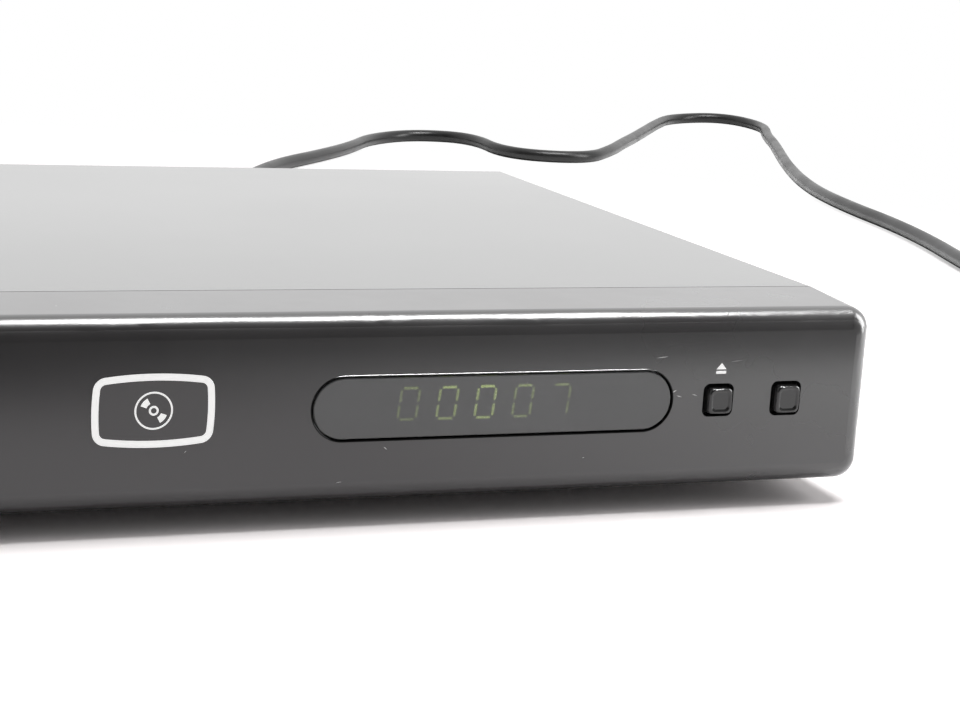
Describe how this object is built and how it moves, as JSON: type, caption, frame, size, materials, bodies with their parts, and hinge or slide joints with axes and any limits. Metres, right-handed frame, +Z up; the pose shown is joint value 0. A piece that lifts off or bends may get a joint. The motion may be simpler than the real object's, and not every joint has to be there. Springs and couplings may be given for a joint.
{
  "type": "disc player",
  "caption": "Slim free-standing disc player with a sliding disc tray, display window, push buttons, steel cover and a mains cord.",
  "frame": {"origin": "on the surface that the player stands on, under the middle of the player without its cord", "axes": "+X to the right along the front, +Y to the rear, +Z up; the front faces -Y"},
  "size_m": [0.8154, 0.7732, 0.043],
  "materials": {
    "panel_plastic": "satin, nearly black",
    "window": "smoked, glossy",
    "badge": "printed, glossy",
    "button": "glossy black",
    "switch_plastic": "matt",
    "switch_pin": "matt",
    "board": "solder mask",
    "brown_board": "paper laminate",
    "display": "glossy dark green",
    "sensor": "dark glossy",
    "cover_paint": "fine satin paint",
    "steel": "zinc plated",
    "rubber": "matt",
    "screw": "blackened",
    "bright_screw": "zinc plated",
    "loader_plastic": "matt black",
    "tray_plastic": "satin black",
    "gear": "natural acetal",
    "motor": "plated can",
    "lens_frame": "matt with a lens",
    "sled_metal": "die cast",
    "chip": "moulded resin",
    "capacitor": "sleeved",
    "ferrite": "ferrite and yellow tape",
    "aluminium": "bare",
    "socket_plastic": "matt black",
    "nickel": "nickel plated",
    "cable": "flat cable",
    "wire": "coloured wires",
    "cord": "satin black",
    "brass": "nickel over brass"
  },
  "bodies": {
    "casing": {"front_panel": "panel_plastic", "display_window": "window", "badge": "badge", "switch_bodies": "switch_plastic", "front_boards": "brown_board", "display_module": "display", "remote_receiver": "sensor", "top_cover": "cover_paint", "chassis_pan": "steel", "rear_panel": "cover_paint", "feet": "rubber", "casing_screws": "screw", "inner_screws": "bright_screw", "loader_frame": "loader_plastic", "dampers": "rubber", "loading_motor": "motor", "drive_belt": "rubber", "clamper_bridge": "loader_plastic", "main_board": "board", "main_chips": "chip", "main_capacitors": "capacitor", "power_board": "brown_board", "transformer": "ferrite", "power_capacitors": "capacitor", "heatsink": "aluminium", "scart_socket": "socket_plastic", "jack_block": "socket_plastic", "jack_shells": "nickel", "front_ribbon": "cable", "loader_ribbon": "cable", "wiring": "wire", "strain_relief": "cord", "mains_cord": "cord", "cord_coil": "cord", "cord_tail": "cord", "plug_body": "cord", "plug_pins": "brass"},
    "tray": {"disc_tray": "tray_plastic", "tray_door": "panel_plastic"},
    "drive_gear": {"drive_gear": "gear"},
    "pulley_gear": {"pulley_gear": "gear"},
    "motor_pulley": {"motor_pulley": "brass"},
    "cam_slider": {"cam_slider": "gear"},
    "traverse": {"traverse_frame": "loader_plastic", "guide_rods": "nickel", "spindle_motor": "motor", "sled_motor": "motor"},
    "turntable": {"turntable": "loader_plastic"},
    "clamper": {"clamper": "gear"},
    "sled": {"pickup_sled": "sled_metal", "objective_lens": "lens_frame"},
    "sled_gear": {"sled_gear": "gear"},
    "sled_pinion": {"sled_pinion": "brass"},
    "eject_key": {"eject_button": "button", "eject_plunger": "switch_pin"},
    "play_key": {"play_button": "button", "play_plunger": "switch_pin"},
    "power_key": {"power_button": "button", "power_plunger": "switch_pin"}
  },
  "joints": [
    {"name": "tray_slide", "type": "slide", "parent": "casing", "child": "tray", "axis": [0, -1, 0], "range_m": [0, 0.135]},
    {"name": "drive_spin", "type": "hinge", "parent": "casing", "child": "drive_gear", "pos_m": [-0.149, -0.084, 0.015], "axis": [0, 0, 1], "range_deg": [0, 859.9]},
    {"name": "pulley_spin", "type": "hinge", "parent": "casing", "child": "pulley_gear", "pos_m": [-0.1268, -0.084, 0.015], "axis": [0, 0, 1], "range_deg": [-3683.8, 0]},
    {"name": "motor_pulley_spin", "type": "hinge", "parent": "casing", "child": "motor_pulley", "pos_m": [-0.088, -0.084, 0.02], "axis": [0, 0, 1], "range_deg": [-11249.5, 0]},
    {"name": "traverse_tilt", "type": "hinge", "parent": "casing", "child": "traverse", "pos_m": [-0.094, 0.06, 0.0156], "axis": [1, 0, 0], "range_deg": [0, 3]},
    {"name": "cam_slide", "type": "slide", "parent": "casing", "child": "cam_slider", "axis": [1, 0, 0], "range_m": [0, 0.0131]},
    {"name": "spindle_spin", "type": "hinge", "parent": "traverse", "child": "turntable", "pos_m": [-0.105, -0.038, 0.025], "axis": [0, 0, 1], "continuous": true},
    {"name": "clamper_spin", "type": "hinge", "parent": "casing", "child": "clamper", "pos_m": [-0.105, -0.038, 0.033], "axis": [0, 0, 1], "continuous": true},
    {"name": "sled_slide", "type": "slide", "parent": "traverse", "child": "sled", "axis": [0, 1, 0], "range_m": [0, 0.034]},
    {"name": "sled_gear_spin", "type": "hinge", "parent": "traverse", "child": "sled_gear", "pos_m": [-0.0668, 0.012, 0.018], "axis": [0, 0, 1], "range_deg": [-464.3, 0]},
    {"name": "sled_pinion_spin", "type": "hinge", "parent": "traverse", "child": "sled_pinion", "pos_m": [-0.0668, 0.0252, 0.018], "axis": [0, 0, 1], "range_deg": [0, 1577.5]},
    {"name": "eject_press", "type": "slide", "parent": "casing", "child": "eject_key", "axis": [0, 1, 0], "range_m": [0, 0.0005], "stiffness_N_per_m": 2000, "springref_m": -0.0002},
    {"name": "play_press", "type": "slide", "parent": "casing", "child": "play_key", "axis": [0, 1, 0], "range_m": [0, 0.0005], "stiffness_N_per_m": 2000, "springref_m": -0.0002},
    {"name": "power_press", "type": "slide", "parent": "casing", "child": "power_key", "axis": [0, 1, 0], "range_m": [0, 0.0005], "stiffness_N_per_m": 2000, "springref_m": -0.0002}
  ],
  "couplings": [
    {"joint": "drive_spin", "follows": "tray_slide", "rad_per_m": 111.11},
    {"joint": "pulley_spin", "follows": "tray_slide", "rad_per_m": -476.19},
    {"joint": "motor_pulley_spin", "follows": "tray_slide", "rad_per_m": -1454.3},
    {"joint": "cam_slide", "follows": "traverse_tilt", "m_per_rad": 0.24828},
    {"joint": "clamper_spin", "follows": "spindle_spin", "ratio": 1},
    {"joint": "sled_gear_spin", "follows": "sled_slide", "rad_per_m": -238.1},
    {"joint": "sled_pinion_spin", "follows": "sled_slide", "rad_per_m": 809.52}
  ]
}
